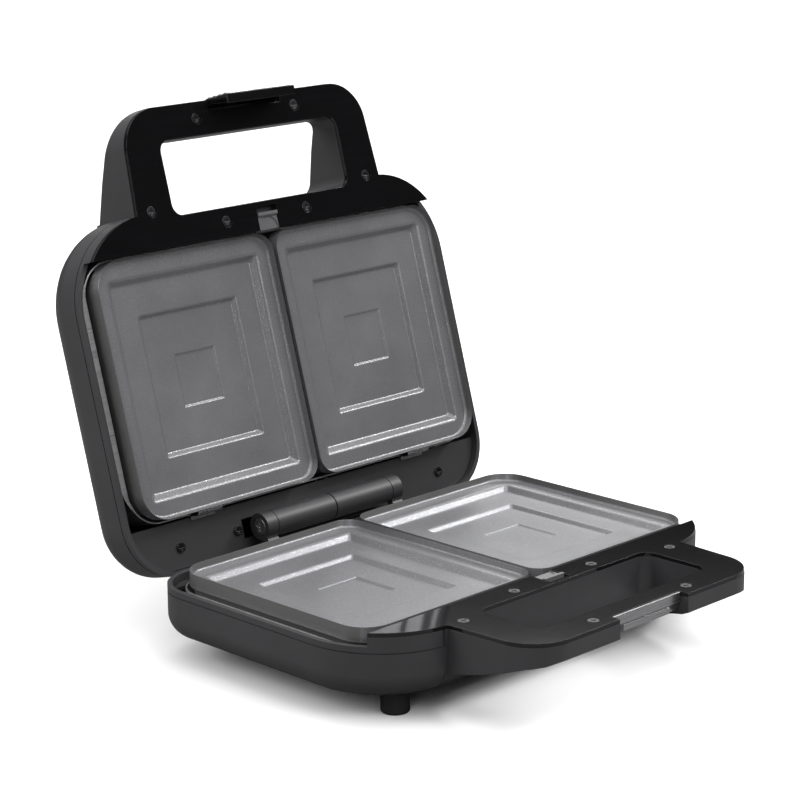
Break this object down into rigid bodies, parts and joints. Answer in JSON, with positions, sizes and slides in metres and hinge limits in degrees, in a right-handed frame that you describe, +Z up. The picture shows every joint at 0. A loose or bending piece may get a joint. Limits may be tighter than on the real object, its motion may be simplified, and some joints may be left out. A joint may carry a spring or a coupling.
{
  "type": "two-slice hinged sandwich and waffle maker",
  "caption": "Hinged contact toaster with lift-out plates of stepped square recesses, looped grips on both halves and a latch on the lid, shown open.",
  "frame": {"origin": "middle of the outline of the open toaster in plan, on the plane the feet stand on", "axes": "+X along the hinge, +Y from the grips towards the hinge, +Z up"},
  "size_m": [0.254, 0.2936, 0.2619],
  "materials": {
    "casing": "fine satin grain",
    "fascia": "polished",
    "rear_cover": "satin",
    "reflector": "bright rolled sheet",
    "heater": "heat-darkened sheath",
    "bright_metal": "bright",
    "dark_screw": "blackened",
    "rubber": "matte",
    "ceramic": "unglazed",
    "gland": "moulded",
    "wire": "sleeved",
    "plate": "non-stick coating with a fine sparkle",
    "clip": "satin grey",
    "lens": "translucent",
    "lamp": "clear",
    "latch": "polished",
    "bright_trim": "plated"
  },
  "bodies": {
    "base": {"base_shell": "casing", "base_fascia": "fascia", "base_rear_cover": "rear_cover", "base_reflector": "reflector", "base_heater": "heater", "base_heater_brackets": "bright_metal", "base_plate_tabs": "bright_metal", "base_fascia_screws": "dark_screw", "base_rear_screws": "dark_screw", "feet": "rubber", "foot_screws": "bright_metal", "catch_bar": "bright_metal", "thermostat": "ceramic", "terminal_block": "ceramic", "cord_gland": "gland", "base_wires": "wire", "hinge_pin": "bright_metal", "hinge_cap": "bright_metal"},
    "lid": {"lid_shell": "casing", "lid_fascia": "fascia", "lid_rear_cover": "rear_cover", "lid_reflector": "reflector", "lid_heater": "heater", "lid_heater_brackets": "bright_metal", "lid_plate_tabs": "bright_metal", "lid_fascia_screws": "dark_screw", "lid_rear_screws": "dark_screw", "thermal_fuse": "ceramic", "lid_wires": "wire", "indicator_lenses": "lens", "indicator_lamps": "lamp", "latch_pin": "bright_metal"},
    "lower_plate": {"lower_plate": "plate"},
    "upper_plate": {"upper_plate": "plate"},
    "lower_clip": {"lower_release_clip": "clip"},
    "upper_clip": {"upper_release_clip": "clip"},
    "latch": {"latch": "latch", "latch_trim": "bright_trim"}
  },
  "joints": [
    {"name": "lid_hinge", "type": "hinge", "parent": "base", "child": "lid", "pos_m": [0, 0.07144, 0.0476], "axis": [-1, 0, 0], "range_deg": [-106, 0]},
    {"name": "latch_pivot", "type": "hinge", "parent": "lid", "child": "latch", "pos_m": [0, 0.13609, 0.25309], "axis": [1, 0, 0], "range_deg": [-20, 6]},
    {"name": "lower_clip_slide", "type": "slide", "parent": "base", "child": "lower_clip", "axis": [0, -1, 0], "range_m": [0, 0.003], "stiffness_N_per_m": 400, "springref_m": -0.001},
    {"name": "upper_clip_slide", "type": "slide", "parent": "lid", "child": "upper_clip", "axis": [0, 0.2756, 0.9613], "range_m": [0, 0.003], "stiffness_N_per_m": 400, "springref_m": -0.001},
    {"name": "lower_plate_lift", "type": "slide", "parent": "base", "child": "lower_plate", "axis": [0, 0, 1], "range_m": [0, 0.02]},
    {"name": "upper_plate_lift", "type": "slide", "parent": "lid", "child": "upper_plate", "axis": [0, -0.9613, 0.2756], "range_m": [0, 0.03]}
  ]
}
